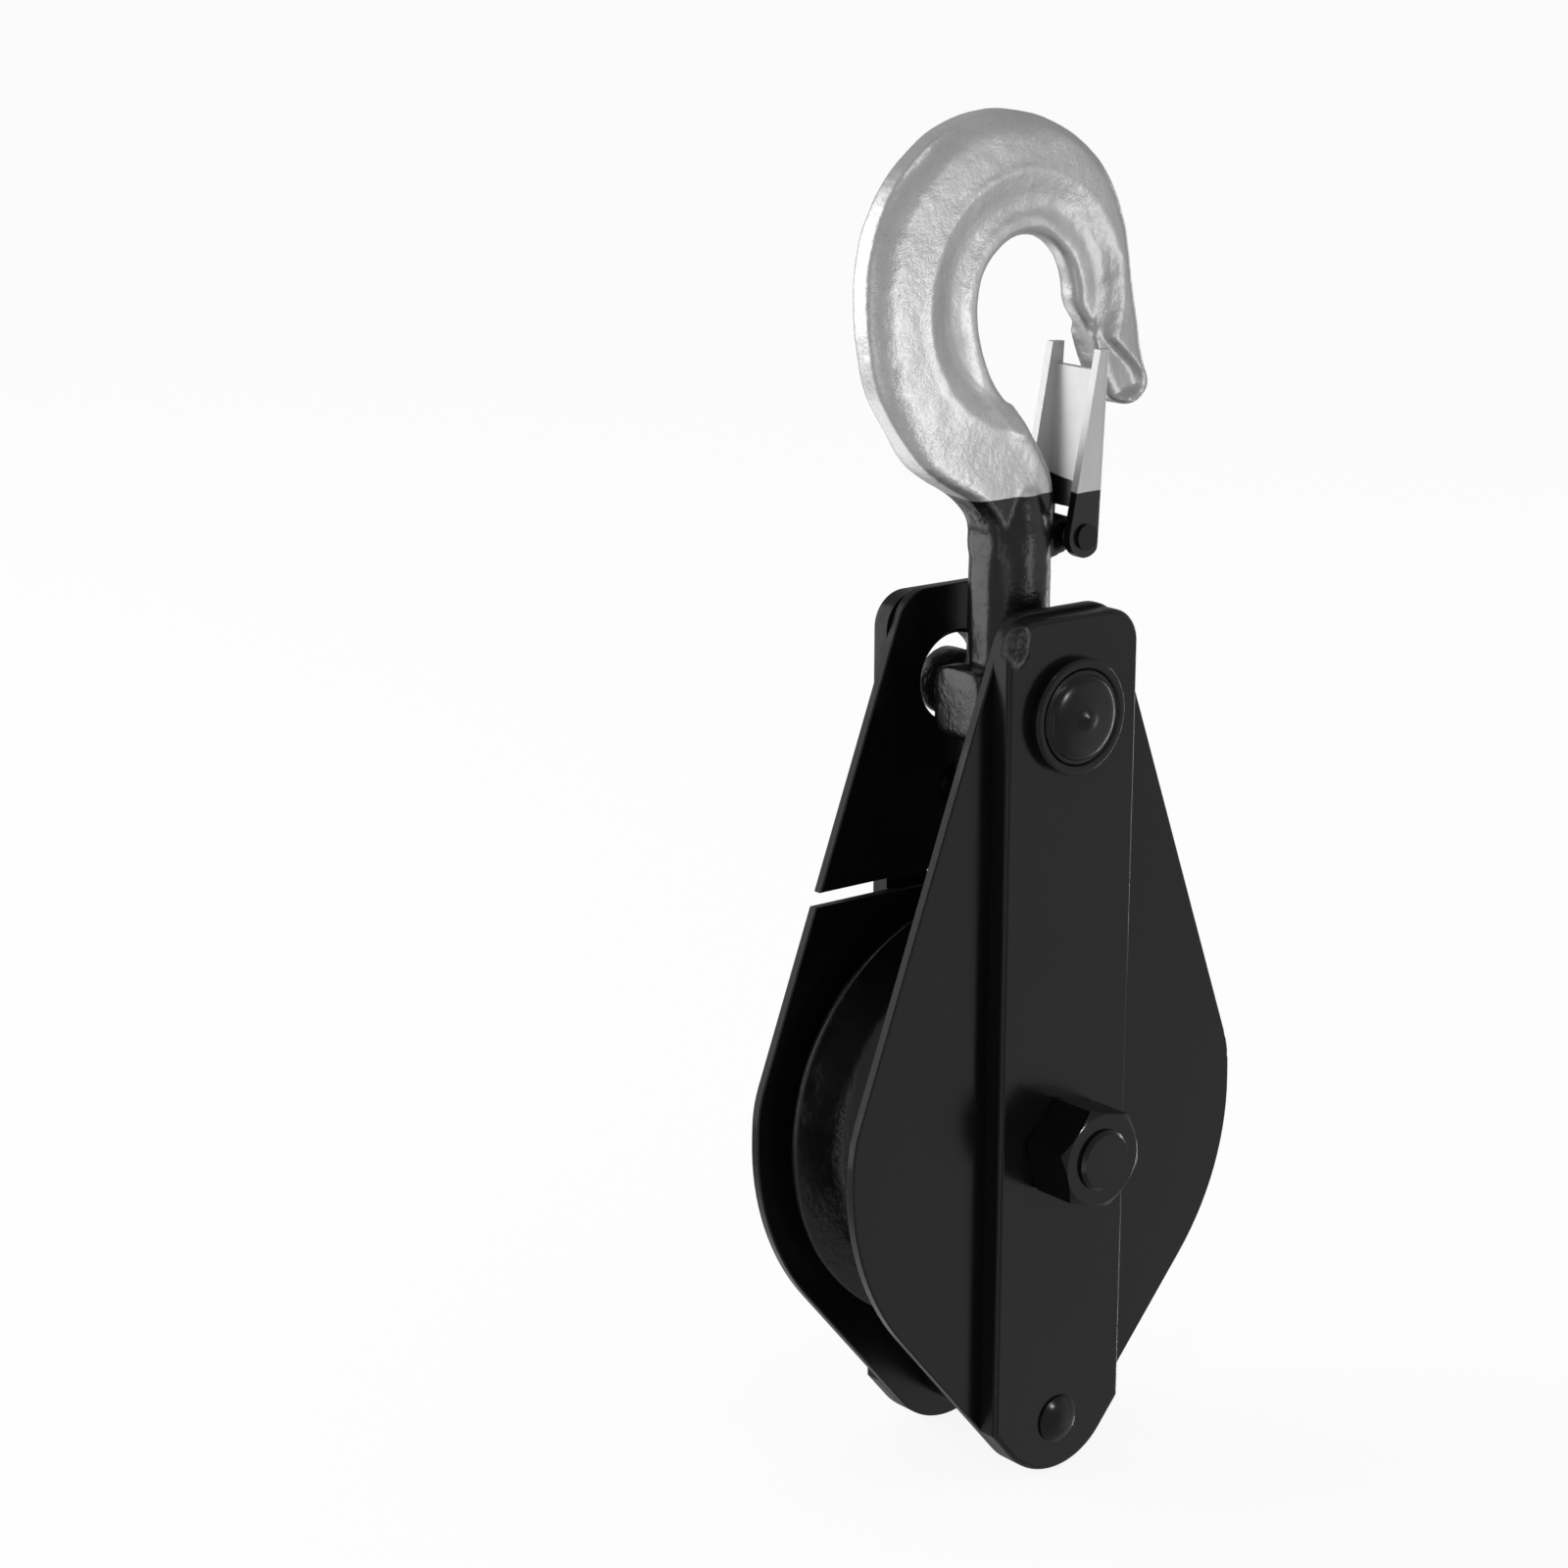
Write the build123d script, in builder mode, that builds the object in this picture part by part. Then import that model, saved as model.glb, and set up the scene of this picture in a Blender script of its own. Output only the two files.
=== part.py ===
from build123d import *
import os
from math import acos, atan2, cos, hypot, radians, sin, tan

# Hinged snatch block, hanging by its hook. Millimetres.
# Origin: middle of the sheave, on its axle. +Y runs along the axle to the hinged rear cheek. +Z is up.

os.makedirs("parts", exist_ok=True)

# Sheave
sheave_diameter = 101.6
rim_width = 23.0
groove_depth = 11.5
groove_radius = 6.8
groove_flank_angle = 25.0
rim_lip_rounding = 0.7
hub_width = 25.0
hub_radius = 24.0
web_thickness = 10.0
web_inner_radius = 26.0
web_outer_radius = 34.0
rim_inner_radius = 37.0
bore_shoulder_width = 1.0
bore_shoulder_step = 1.5

# Roller bearing
sleeve_radius = 10.0
sleeve_bore_clearance = 0.05
roller_radius = 2.48
rollers_per_row = 15
cup_wall = 3.5
cup_lip = 1.0
cup_lip_reach = 3.5
running_clearance = 0.05
press_clearance = 0.01
roller_end_clearance = 0.1
washer_end_clearance = 0.1
side_washer_radius = 17.0

# Cheeks
cheek_gap = 31.0
plate_thickness = 2.5
strap_thickness = 5.0
strap_width = 38.0
cheek_top_height = 122.0
cheek_top_half_width = 15.3
cheek_top_rounding = 9.0
waist_half_width = 56.5
waist_height = 10.0
waist_run = 4.6
belly_half_width = 57.3
belly_drop = 20.7
belly_run = 23.0
tip_drop = 88.6
tip_rounding = 17.6
strap_top_height = 121.0
strap_corner_rounding = 8.0
strap_edge_rounding = 1.2
plate_edge_rounding = 0.4

# Axle bolt and nut
bolt_radius = 7.0
bolt_hole_clearance = 0.25
hexagon_across_flats = 21.0
hexagon_bevel = 1.7
hexagon_bevel_height = 1.0
bolt_head_height = 8.8
nut_height = 12.8
nut_clearance = 0.02
nut_turn = 45.0
bolt_overhang = 1.5
bolt_end_chamfer = 0.8

# Rivet and spacer through the cheek tips
tip_rivet_offset = 5.3
tip_rivet_radius = 4.0
tip_rivet_head_radius = 5.6
tip_rivet_head_height = 2.4
rivet_head_side = 0.5
rivet_clearance = 0.05
tip_spacer_radius = 7.0
tip_spacer_clearance = 0.1

# Trunnion and foot of the hook
trunnion_height = 99.0
trunnion_radius = 7.75
trunnion_rear_reach = 22.0
trunnion_end_chamfer = 1.5
trunnion_collar_radius = 10.4
trunnion_collar_width = 6.4
collar_clearance = 0.1
dome_radius = 9.3
dome_side = 1.5
dome_rise = 2.2
dome_shoulder_radius = 6.3
dome_shoulder_rise = 1.45
dome_tip_radius = 1.5
dome_tip_rise = 0.4
foot_radius = 8.0
foot_half_length = 14.0
foot_rounding = 1.0
tail_width = 20.0
tail_thickness = 11.6
tail_bottom_height = 76.0
tail_rounding = 1.2

# Ring washer under the domed end
washer_radius = 13.0
washer_rim_width = 2.4
washer_rim_height = 2.8
washer_flange = 1.2
washer_bore_clearance = 0.15
washer_rounding = 0.8

# Gate: the hinged upper part of the rear cheek
slit_height = 55.1
slit_width = 3.2
gate_hole_radius = 10.25
gate_hole_rise = 1.2
gate_hole_bevel = 1.0
hinge_rise = 6.9
hinge_pin_radius = 3.0
knuckle_radius = 7.7
knuckle_clearance = 0.3
knuckle_half_length = 18.0
middle_knuckle_half_length = 5.7
tongue_drop = 3.5
gate_strap_drop = 9.0
pin_head_radius = 4.6
pin_head_height = 1.6
gate_rivet_place = 0.24
gate_rivet_radius = 3.0
gate_rivet_head_radius = 4.6
gate_rivet_head_height = 2.2

# Hook: shank, neck, and the outline of the flat forging as X and Z
shank_radius = 9.25
shank_half_width = 8.85
shank_offset = 1.0
shank_top_height = 135.0
neck_top_height = 146.0
neck_taper = 12.0
hook_thickness = 12.5
hook_edge_rounding = 3.2
hook_base_height = 131.0
spine_points = [
    (-7.85, 136),
    (-11.5, 142.5),
    (-18.1, 146.8),
    (-26, 151.8),
    (-32.6, 159.3),
    (-38.7, 169.1),
    (-41.7, 180.2),
]
bowl_centre = (-5.6, 191)
bowl_outer_radius = 37.0
bowl_start_angle = 176.0
bowl_end_angle = 5.0
nose_outer_points = [(33.7, 182), (35.6, 173), (37.9, 166)]
nose_outer_direction = (0.2, -1)
nose_tip = (32, 161.4)
nose_inner_points = [(26.6, 163.8), (23.4, 170), (20.5, 178.5)]
nose_inner_direction = (-0.4, 1)
nose_rounding = 4.2
mouth_centre = (2.4, 187.1)
mouth_radius = 13.5
throat_points = [(-6.9, 171), (-0.2, 162.7), (6.3, 153.7), (9.85, 144)]

# Thinner band of the forging round the mouth, and the rib that ends it between the latch's sides
band_thickness = 7.8
band_rounding = 3.0
band_centre = (0.5, 187)
band_foot_radius = 22.0
band_ridge_radius = 28.5
rib_width = 6.6
rib_edge = 22.4
rib_depth = 5.0
rib_bottom_drop = 15.7
rib_height = 6.6
rib_rounding = 1.4

# Latch
latch_pivot = (15.5, 134.4)
latch_lug_radius = 3.8
latch_lug_root = 11.0
latch_lug_overlap = 1.0
latch_lug_thickness = 7.0
latch_width = 17.5
latch_sheet = 2.0
latch_foot_radius = 4.7
latch_web_clearance = 0.8
latch_side_rise = 4.9
latch_top_edge = 22.1
latch_top_depth = 3.4
latch_web_rise = 5.1
latch_bend_rounding = 1.6
latch_pin_radius = 2.0
latch_pin_head_radius = 2.9
latch_pin_head_height = 0.8
spring_wire_radius = 0.45
spring_radius = 2.75
spring_pitch = 1.1
spring_turns = 1.75
spring_leg = 9.0
spring_leg_lean = 0.065

# Places that follow from the sizes above
plate_inside = cheek_gap / 2
plate_outside = plate_inside + plate_thickness
strap_outside = plate_outside + strap_thickness
sheave_radius = sheave_diameter / 2
cup_width = (hub_width - bore_shoulder_width) / 2
cup_centre = (bore_shoulder_width + cup_width) / 2
cup_bore_radius = sleeve_radius + 2 * roller_radius + running_clearance
cup_radius = cup_bore_radius + cup_wall
roller_circle = (sleeve_radius + cup_bore_radius) / 2
roller_length = cup_width - 2 * (cup_lip + roller_end_clearance)
slit_bottom = slit_height - slit_width / 2
slit_top = slit_height + slit_width / 2
hinge_height = slit_height + hinge_rise
hinge_depth = plate_outside + knuckle_clearance + knuckle_radius
gate_strap_bottom = hinge_height + gate_strap_drop
gate_hole_bottom = trunnion_height + gate_hole_rise - gate_hole_radius
gate_rivet_height = gate_strap_bottom + gate_rivet_place * (gate_hole_bottom - gate_strap_bottom)
rib_bottom_height = mouth_centre[1] - rib_bottom_drop
latch_web_top = rib_bottom_height - latch_web_clearance
latch_top_height = latch_web_top + latch_side_rise
tip_half_angle = atan2(belly_half_width, tip_drop - belly_drop)
tip_centre_drop = tip_drop - tip_rounding / sin(tip_half_angle)
tip_rivet_drop = tip_centre_drop + tip_rivet_offset
latch_inside = latch_width / 2 - latch_sheet
sides = {"front": -1, "rear": 1}


def cheek_plane(depth):
    # Parallel to the cheeks at this place along the axle. Its own Y is the block's Z, and it faces forward.
    return Plane.XZ.offset(-depth)


def axle_line(height):
    return Axis((0, 0, height), (0, 1, 0))


def on_bowl(angle):
    across = bowl_outer_radius * cos(radians(angle))
    return (bowl_centre[0] + across, bowl_centre[1] + bowl_outer_radius * sin(radians(angle)))


def along_bowl(angle):
    return (sin(radians(angle)), -cos(radians(angle)))


def smooth_line(points, start_direction, end_direction):
    Spline(*points, tangents=[start_direction, end_direction], tangent_scalars=[1, 1])


def touch_point(centre, radius, point, side):
    # Where a straight line from the point just touches the circle.
    away = atan2(point[1] - centre[1], point[0] - centre[0])
    turn = acos(radius / hypot(point[0] - centre[0], point[1] - centre[1]))
    return (centre[0] + radius * cos(away + side * turn), centre[1] + radius * sin(away + side * turn))


def rounding_for_run(before, corner, after, run):
    # Radius of a corner's rounding that takes this length off both straight sides.
    turn = (Vector(corner) - Vector(before)).get_angle(Vector(after) - Vector(corner))
    return run / tan(radians(turn) / 2)


def cheek_outline():
    top = (cheek_top_half_width, cheek_top_height)
    waist = (waist_half_width, waist_height)
    belly = (belly_half_width, -belly_drop)
    tip = (0, -tip_drop)
    corners = [
        (*top, cheek_top_rounding),
        (*waist, rounding_for_run(top, waist, belly, waist_run)),
        (*belly, rounding_for_run(waist, belly, tip, belly_run)),
    ]
    right = [(x, z) for x, z, rounding in corners]
    left = [(-x, z) for x, z in reversed(right)]
    roundings = [rounding for x, z, rounding in corners]
    with BuildSketch() as outline:
        with BuildLine():
            FilletPolyline(
                *right,
                tip,
                *left,
                radius=[*roundings, tip_rounding, *reversed(roundings)],
                close=True,
            )
        make_face()
    return outline.sketch


def strap_outline():
    # Straight bar whose lower end follows the cheek's own tip.
    with BuildSketch() as outline:
        add(cheek_outline())
        with Locations((0, -tip_drop / 2)):
            Rectangle(strap_width, tip_drop, mode=Mode.INTERSECT)
        with Locations((0, strap_top_height / 2)):
            Rectangle(strap_width, strap_top_height)
        fillet(outline.vertices().group_by(Axis.Y)[-1], strap_corner_rounding)
    return outline.sketch


def keep_between(bottom, top):
    with Locations((0, (bottom + top) / 2)):
        Rectangle(2 * sheave_diameter, top - bottom, mode=Mode.INTERSECT)


def cut_axle_holes():
    Circle(bolt_radius + bolt_hole_clearance, mode=Mode.SUBTRACT)
    with Locations((0, -tip_rivet_drop)):
        Circle(tip_rivet_radius + rivet_clearance, mode=Mode.SUBTRACT)


def cut_trunnion_hole():
    with Locations((0, trunnion_height)):
        Circle(trunnion_radius + running_clearance, mode=Mode.SUBTRACT)


def cut_gate_holes():
    with Locations((0, trunnion_height + gate_hole_rise)):
        Circle(gate_hole_radius, mode=Mode.SUBTRACT)
    with Locations((0, gate_rivet_height)):
        Circle(gate_rivet_radius + rivet_clearance, mode=Mode.SUBTRACT)


def knuckle_circle(radius):
    with Locations((hinge_depth, hinge_height)):
        Circle(radius)


def rivet_profile(radius, head_radius, head_height, start, end):
    # Half section, radius against place along the rivet, with a low domed head past each end.
    with BuildSketch() as profile:
        with BuildLine():
            top = end + head_height
            bottom = start - head_height
            Line((0, bottom), (0, top))
            TangentArc((0, top), (head_radius, end + rivet_head_side), tangent=(1, 0))
            Polyline(
                (head_radius, end + rivet_head_side),
                (head_radius, end),
                (radius, end),
                (radius, start),
                (head_radius, start),
                (head_radius, start - rivet_head_side),
            )
            TangentArc((0, bottom), (head_radius, start - rivet_head_side), tangent=(1, 0))
        make_face()
    return profile.sketch


def hexagon_bevel_profile(start, end):
    # Half section that takes the corners off both ends of a hexagon.
    across_corners = hexagon_across_flats / cos(radians(30)) / 2
    bevelled = across_corners - hexagon_bevel
    with BuildSketch() as profile:
        Polygon(
            (0, start),
            (bevelled, start),
            (across_corners, start + hexagon_bevel_height),
            (across_corners, end - hexagon_bevel_height),
            (bevelled, end),
            (0, end),
            align=None,
        )
    return profile.sketch


def hook_outline():
    with BuildSketch() as outline:
        with BuildLine():
            bowl_left = on_bowl(bowl_start_angle)
            bowl_right = on_bowl(bowl_end_angle)
            mouth_left = (mouth_centre[0] - mouth_radius, mouth_centre[1])
            mouth_top = (mouth_centre[0], mouth_centre[1] + mouth_radius)
            mouth_right = (mouth_centre[0] + mouth_radius, mouth_centre[1])
            base_left = (shank_offset - shank_half_width, hook_base_height)
            base_right = (shank_offset + shank_half_width, hook_base_height)
            Polyline(base_right, base_left, spine_points[0])
            smooth_line([*spine_points, bowl_left], (0, 1), along_bowl(bowl_start_angle))
            ThreePointArc(bowl_left, on_bowl(90), bowl_right)
            smooth_line([bowl_right, *nose_outer_points], along_bowl(bowl_end_angle), nose_outer_direction)
            ThreePointArc(nose_outer_points[-1], nose_tip, nose_inner_points[0])
            smooth_line([*nose_inner_points, mouth_right], nose_inner_direction, (0, 1))
            ThreePointArc(mouth_right, mouth_top, mouth_left)
            smooth_line([mouth_left, *throat_points], (0, -1), (0, -1))
            Line(throat_points[-1], base_right)
        make_face()
        fillet(outline.vertices().sort_by_distance(nose_tip)[:2], nose_rounding)
    return outline.sketch


# Front cheek
with BuildPart() as front_plate:
    with BuildSketch(cheek_plane(-plate_inside)):
        add(cheek_outline())
    extrude(amount=plate_thickness)
    fillet(front_plate.faces().filter_by(Axis.Y).edges(), plate_edge_rounding)
    with BuildSketch(cheek_plane(-plate_inside)):
        add(cheek_outline())
        cut_axle_holes()
        cut_trunnion_hole()
    extrude(amount=plate_thickness, mode=Mode.INTERSECT)

with BuildPart() as front_strap:
    with BuildSketch(cheek_plane(-plate_outside)):
        add(strap_outline())
    extrude(amount=strap_thickness)
    fillet(front_strap.faces().sort_by(Axis.Y)[0].edges(), strap_edge_rounding)
    with BuildSketch(cheek_plane(-plate_outside)):
        add(strap_outline())
        cut_axle_holes()
        cut_trunnion_hole()
    extrude(amount=strap_thickness, mode=Mode.INTERSECT)

# Rear cheek below the slit
with BuildPart() as rear_plate:
    with BuildSketch(cheek_plane(plate_outside)):
        add(cheek_outline())
        keep_between(-tip_drop, slit_bottom)
    extrude(amount=plate_thickness)
    fillet(rear_plate.faces().filter_by(Axis.Y).edges(), plate_edge_rounding)
    with BuildSketch(cheek_plane(plate_outside)):
        add(cheek_outline())
        cut_axle_holes()
    extrude(amount=plate_thickness, mode=Mode.INTERSECT)

with BuildPart() as rear_strap:
    with BuildSketch(cheek_plane(strap_outside)):
        add(strap_outline())
        keep_between(-tip_drop, slit_bottom - tongue_drop)
    extrude(amount=strap_thickness)
    fillet(rear_strap.faces().sort_by(Axis.Y)[-1].edges(), strap_edge_rounding)
    with BuildSketch(cheek_plane(strap_outside)):
        with Locations((0, slit_bottom - tongue_drop)):
            Rectangle(2 * knuckle_half_length, 2 * tongue_drop)
    extrude(amount=strap_thickness)
    with BuildSketch(cheek_plane(strap_outside)):
        with Locations((0, (slit_bottom + hinge_height) / 2)):
            Rectangle(2 * knuckle_half_length, hinge_height - slit_bottom)
    extrude(amount=strap_thickness - knuckle_clearance)
    with BuildSketch(Plane.YZ):
        knuckle_circle(knuckle_radius)
    extrude(amount=knuckle_half_length, both=True)
    with BuildSketch(cheek_plane(strap_outside + knuckle_radius * 2)):
        with Locations((0, slit_bottom + knuckle_radius * 2)):
            Rectangle(2 * (middle_knuckle_half_length + knuckle_clearance), knuckle_radius * 4)
    extrude(amount=knuckle_radius * 4, mode=Mode.SUBTRACT)
    with BuildSketch(Plane.YZ):
        knuckle_circle(hinge_pin_radius + press_clearance)
    extrude(amount=knuckle_half_length, both=True, mode=Mode.SUBTRACT)
    with BuildSketch(cheek_plane(strap_outside)):
        Circle(bolt_radius + bolt_hole_clearance)
        with Locations((0, -tip_rivet_drop)):
            Circle(tip_rivet_radius + rivet_clearance)
    extrude(amount=strap_thickness, mode=Mode.SUBTRACT)

# Gate
with BuildPart() as gate_plate:
    with BuildSketch(cheek_plane(plate_outside)):
        add(cheek_outline())
        keep_between(slit_top, cheek_top_height)
    extrude(amount=plate_thickness)
    fillet(gate_plate.faces().filter_by(Axis.Y).edges(), plate_edge_rounding)
    with BuildSketch(cheek_plane(plate_outside)):
        add(cheek_outline())
        cut_gate_holes()
    extrude(amount=plate_thickness, mode=Mode.INTERSECT)
    inner_rim = gate_plate.edges().filter_by(GeomType.CIRCLE).sort_by(Axis.Y)
    inner_rim = inner_rim.filter_by(lambda edge: abs(edge.radius - gate_hole_radius) < press_clearance)
    chamfer(inner_rim[0], gate_hole_bevel)

with BuildPart() as gate_strap:
    with BuildSketch(cheek_plane(strap_outside)):
        add(strap_outline())
        keep_between(gate_strap_bottom, strap_top_height)
    extrude(amount=strap_thickness)
    fillet(gate_strap.faces().sort_by(Axis.Y)[-1].edges(), strap_edge_rounding)
    with BuildSketch(cheek_plane(strap_outside)):
        with Locations((0, gate_strap_bottom - strap_edge_rounding)):
            Rectangle(2 * middle_knuckle_half_length, 2 * (gate_strap_drop - strap_edge_rounding))
    extrude(amount=strap_thickness)
    with BuildSketch(Plane.YZ):
        knuckle_circle(knuckle_radius)
    extrude(amount=middle_knuckle_half_length, both=True)
    with BuildSketch(Plane.YZ):
        knuckle_circle(hinge_pin_radius + running_clearance)
    extrude(amount=middle_knuckle_half_length, both=True, mode=Mode.SUBTRACT)
    with BuildSketch(cheek_plane(strap_outside)):
        with Locations((0, trunnion_height + gate_hole_rise)):
            Circle(gate_hole_radius)
        with Locations((0, gate_rivet_height)):
            Circle(gate_rivet_radius + rivet_clearance)
    extrude(amount=strap_thickness, mode=Mode.SUBTRACT)

with BuildPart() as gate_rivet:
    with BuildSketch(Plane.XY.offset(gate_rivet_height)):
        add(
            rivet_profile(
                gate_rivet_radius,
                gate_rivet_head_radius,
                gate_rivet_head_height,
                plate_inside,
                strap_outside,
            )
        )
    revolve(axis=axle_line(gate_rivet_height))

with BuildPart() as hinge_pin:
    with BuildSketch(Plane.YZ):
        knuckle_circle(hinge_pin_radius)
    extrude(amount=knuckle_half_length, both=True)
    for side in sides.values():
        with BuildSketch(Plane.YZ.offset(side * (knuckle_half_length + pin_head_height / 2))):
            knuckle_circle(pin_head_radius)
        extrude(amount=pin_head_height / 2, both=True)
    fillet(
        hinge_pin.edges().filter_by(GeomType.CIRCLE).group_by(Axis.X)[-1]
        + hinge_pin.edges().filter_by(GeomType.CIRCLE).group_by(Axis.X)[0],
        pin_head_height / 2,
    )

# Sheave
with BuildPart() as sheave:
    flank_start = (
        sheave_radius - groove_depth + groove_radius - groove_radius * sin(radians(groove_flank_angle)),
        groove_radius * cos(radians(groove_flank_angle)),
    )
    flank_end = (
        sheave_radius,
        flank_start[1] + (sheave_radius - flank_start[0]) * tan(radians(groove_flank_angle)),
    )
    groove_bottom = (sheave_radius - groove_depth, 0)
    with BuildSketch() as sheave_profile:
        with BuildLine():
            bore_step = (cup_radius + press_clearance - bore_shoulder_step, bore_shoulder_width / 2)
            Polyline(
                (bore_step[0], 0),
                bore_step,
                (cup_radius + press_clearance, bore_step[1]),
                (cup_radius + press_clearance, hub_width / 2),
                (hub_radius, hub_width / 2),
                (web_inner_radius, web_thickness / 2),
                (web_outer_radius, web_thickness / 2),
                (rim_inner_radius, rim_width / 2),
                (sheave_radius, rim_width / 2),
                flank_end,
                flank_start,
            )
            into_groove = (flank_start[0] - flank_end[0], flank_start[1] - flank_end[1])
            TangentArc(flank_start, groove_bottom, tangent=into_groove)
            Line(groove_bottom, (bore_step[0], 0))
        make_face()
        fillet(sheave_profile.vertices().sort_by(Axis.X)[-2:], rim_lip_rounding)
        mirror(about=Plane.XZ)
    revolve(axis=Axis.Y)

# Bearing
with BuildPart() as axle_sleeve:
    with BuildSketch(cheek_plane(plate_inside)):
        Circle(sleeve_radius)
        Circle(bolt_radius + sleeve_bore_clearance, mode=Mode.SUBTRACT)
    extrude(amount=cheek_gap)

bearing_parts = []
for side_name, side in sides.items():
    with BuildPart() as bearing_cup:
        with BuildSketch():
            with Locations((cup_bore_radius + cup_wall / 2, side * cup_centre)):
                Rectangle(cup_wall, cup_width)
            for end in sides.values():
                lip_place = side * cup_centre + end * (cup_width - cup_lip) / 2
                with Locations((cup_bore_radius - cup_lip_reach / 2, lip_place)):
                    Rectangle(cup_lip_reach, cup_lip)
        revolve(axis=Axis.Y)
    with BuildPart() as roller_row:
        with BuildSketch(cheek_plane(side * cup_centre)):
            with PolarLocations(roller_circle, rollers_per_row):
                Circle(roller_radius)
        extrude(amount=roller_length / 2, both=True)
    with BuildPart() as side_washer:
        with BuildSketch():
            washer_inner = hub_width / 2 + washer_end_clearance
            bore_radius = sleeve_radius + running_clearance
            with Locations(((bore_radius + side_washer_radius) / 2, side * (washer_inner + plate_inside) / 2)):
                Rectangle(side_washer_radius - bore_radius, plate_inside - washer_inner)
        revolve(axis=Axis.Y)
    bearing_parts.append((bearing_cup, f"bearing_cup_{side_name}"))
    bearing_parts.append((roller_row, f"rollers_{side_name}"))
    bearing_parts.append((side_washer, f"side_washer_{side_name}"))

# Axle bolt and nut
with BuildPart() as axle_bolt:
    with BuildSketch(cheek_plane(strap_outside)):
        RegularPolygon(hexagon_across_flats / 2, 6, major_radius=False)
    extrude(amount=-bolt_head_height)
    with BuildSketch():
        add(hexagon_bevel_profile(strap_outside - hexagon_bevel_height, strap_outside + bolt_head_height))
    revolve(axis=Axis.Y, mode=Mode.INTERSECT)
    with BuildSketch(cheek_plane(strap_outside)):
        Circle(bolt_radius)
    extrude(amount=2 * strap_outside + nut_height + bolt_overhang)
    chamfer(axle_bolt.edges().sort_by(Axis.Y)[0], bolt_end_chamfer)

with BuildPart() as axle_nut:
    with BuildSketch(cheek_plane(-strap_outside)):
        RegularPolygon(hexagon_across_flats / 2, 6, major_radius=False, rotation=nut_turn)
    extrude(amount=nut_height)
    with BuildSketch():
        add(hexagon_bevel_profile(-strap_outside - nut_height, -strap_outside))
    revolve(axis=Axis.Y, mode=Mode.INTERSECT)
    with BuildSketch(cheek_plane(-strap_outside)):
        Circle(bolt_radius + nut_clearance)
    extrude(amount=nut_height, mode=Mode.SUBTRACT)

# Rivet and spacer at the tips
with BuildPart() as bottom_rivet:
    with BuildSketch(Plane.XY.offset(-tip_rivet_drop)):
        add(
            rivet_profile(
                tip_rivet_radius,
                tip_rivet_head_radius,
                tip_rivet_head_height,
                -strap_outside,
                strap_outside,
            )
        )
    revolve(axis=axle_line(-tip_rivet_drop))

with BuildPart() as bottom_spacer:
    with BuildSketch(cheek_plane(plate_inside)):
        with Locations((0, -tip_rivet_drop)):
            Circle(tip_spacer_radius)
            Circle(tip_rivet_radius + tip_spacer_clearance, mode=Mode.SUBTRACT)
    extrude(amount=cheek_gap)

# Hook: one forging with its foot and trunnions
with BuildPart() as hook_rim:
    with BuildSketch(Plane.XZ):
        add(hook_outline())
    extrude(amount=hook_thickness / 2, both=True)
    fillet(hook_rim.faces().filter_by(Axis.Y).edges(), hook_edge_rounding)
    with BuildSketch(Plane.XY.offset(band_centre[1])):
        Polygon(
            (band_centre[0], 0),
            (band_centre[0] + band_foot_radius, 0),
            (band_centre[0] + band_foot_radius, band_thickness / 2),
            (band_centre[0] + band_ridge_radius, hook_thickness / 2),
            (band_centre[0] + band_ridge_radius, hook_thickness),
            (band_centre[0], hook_thickness),
            align=None,
        )
        mirror(about=Plane.XZ)
    revolve(axis=Axis((band_centre[0], 0, band_centre[1]), (0, 1, 0)), mode=Mode.SUBTRACT)

with BuildPart() as nose_rib:
    with BuildSketch(Plane.XZ):
        with Locations((rib_edge + rib_depth / 2, rib_bottom_height + rib_height / 2)):
            Rectangle(rib_depth, rib_height)
    extrude(amount=rib_width / 2, both=True)
    fillet(nose_rib.edges().group_by(Axis.Z)[0] + nose_rib.faces().sort_by(Axis.X)[0].edges(), rib_rounding)

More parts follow.
